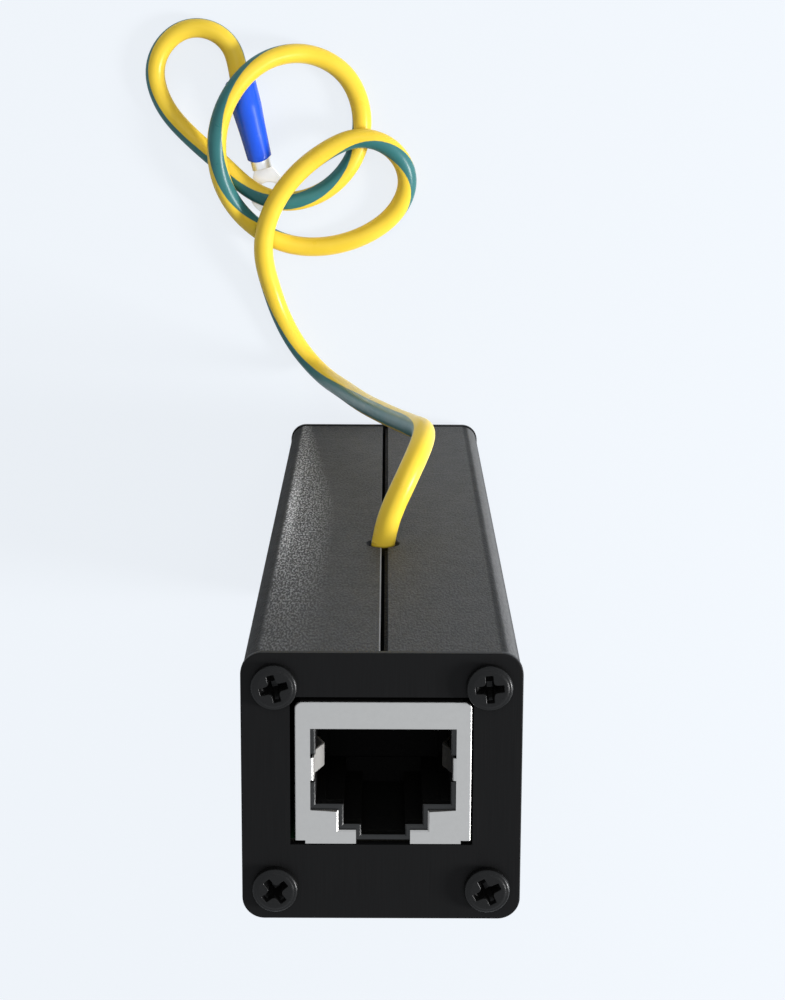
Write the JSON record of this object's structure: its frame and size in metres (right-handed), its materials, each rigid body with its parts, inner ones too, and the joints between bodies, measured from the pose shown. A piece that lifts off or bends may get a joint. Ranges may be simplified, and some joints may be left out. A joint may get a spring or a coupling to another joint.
{
  "type": "ethernet surge protector",
  "caption": "In-line ethernet surge protector: a slim square black aluminium case with a shielded socket at each end and a yellow-green earth lead.",
  "frame": {"origin": "centre of the bottom of the body as it stands on its rear screw heads", "axes": "+Z along the case from the rear socket to the front socket, +Y out of the face that the earth lead leaves, +X to the right in the picture"},
  "size_m": [0.0439, 0.0787, 0.102],
  "materials": {
    "black_anodised": "fine sandblasted black anodising",
    "black_plate": "black anodised, faintly brushed",
    "black_screw": "black, satin",
    "nickel_shield": "nickel-plated sheet",
    "black_plastic": "moulded black",
    "gold_contact": "gold-plated",
    "board_green": "solder-masked laminate",
    "tinned_copper": "tinned",
    "solder": "bright solder",
    "lead_insulation": "yellow with a green stripe",
    "copper": "stranded copper",
    "blue_sleeve": "glossy blue",
    "tinned_terminal": "bright tin",
    "tube_ceramic": "white ceramic with metal bands",
    "chip_black": "moulded black"
  },
  "bodies": {
    "root": {"case_left": "black_anodised", "case_right": "black_anodised", "circuit_board": "board_green", "earth_strip": "tinned_copper", "wire_joint": "solder", "ground_wire": "lead_insulation", "lead_core": "copper", "terminal_sleeve": "blue_sleeve", "ring_terminal": "tinned_terminal", "front_plate": "black_plate", "front_screw_1": "black_screw", "front_screw_2": "black_screw", "front_screw_3": "black_screw", "front_screw_4": "black_screw", "front_jack_shield": "nickel_shield", "front_jack_housing": "black_plastic", "front_contact_carrier": "black_plastic", "front_contact_1": "gold_contact", "front_contact_2": "gold_contact", "front_contact_3": "gold_contact", "front_contact_4": "gold_contact", "front_contact_5": "gold_contact", "front_contact_6": "gold_contact", "front_contact_7": "gold_contact", "front_contact_8": "gold_contact", "rear_plate": "black_plate", "rear_screw_1": "black_screw", "rear_screw_2": "black_screw", "rear_screw_3": "black_screw", "rear_screw_4": "black_screw", "rear_jack_shield": "nickel_shield", "rear_jack_housing": "black_plastic", "rear_contact_carrier": "black_plastic", "rear_contact_1": "gold_contact", "rear_contact_2": "gold_contact", "rear_contact_3": "gold_contact", "rear_contact_4": "gold_contact", "rear_contact_5": "gold_contact", "rear_contact_6": "gold_contact", "rear_contact_7": "gold_contact", "rear_contact_8": "gold_contact", "gas_tube_1": "tube_ceramic", "gas_tube_2": "tube_ceramic", "gas_tube_3": "tube_ceramic", "gas_tube_4": "tube_ceramic", "suppressor_chip_1": "chip_black", "suppressor_chip_2": "chip_black"}
  },
  "joints": []
}
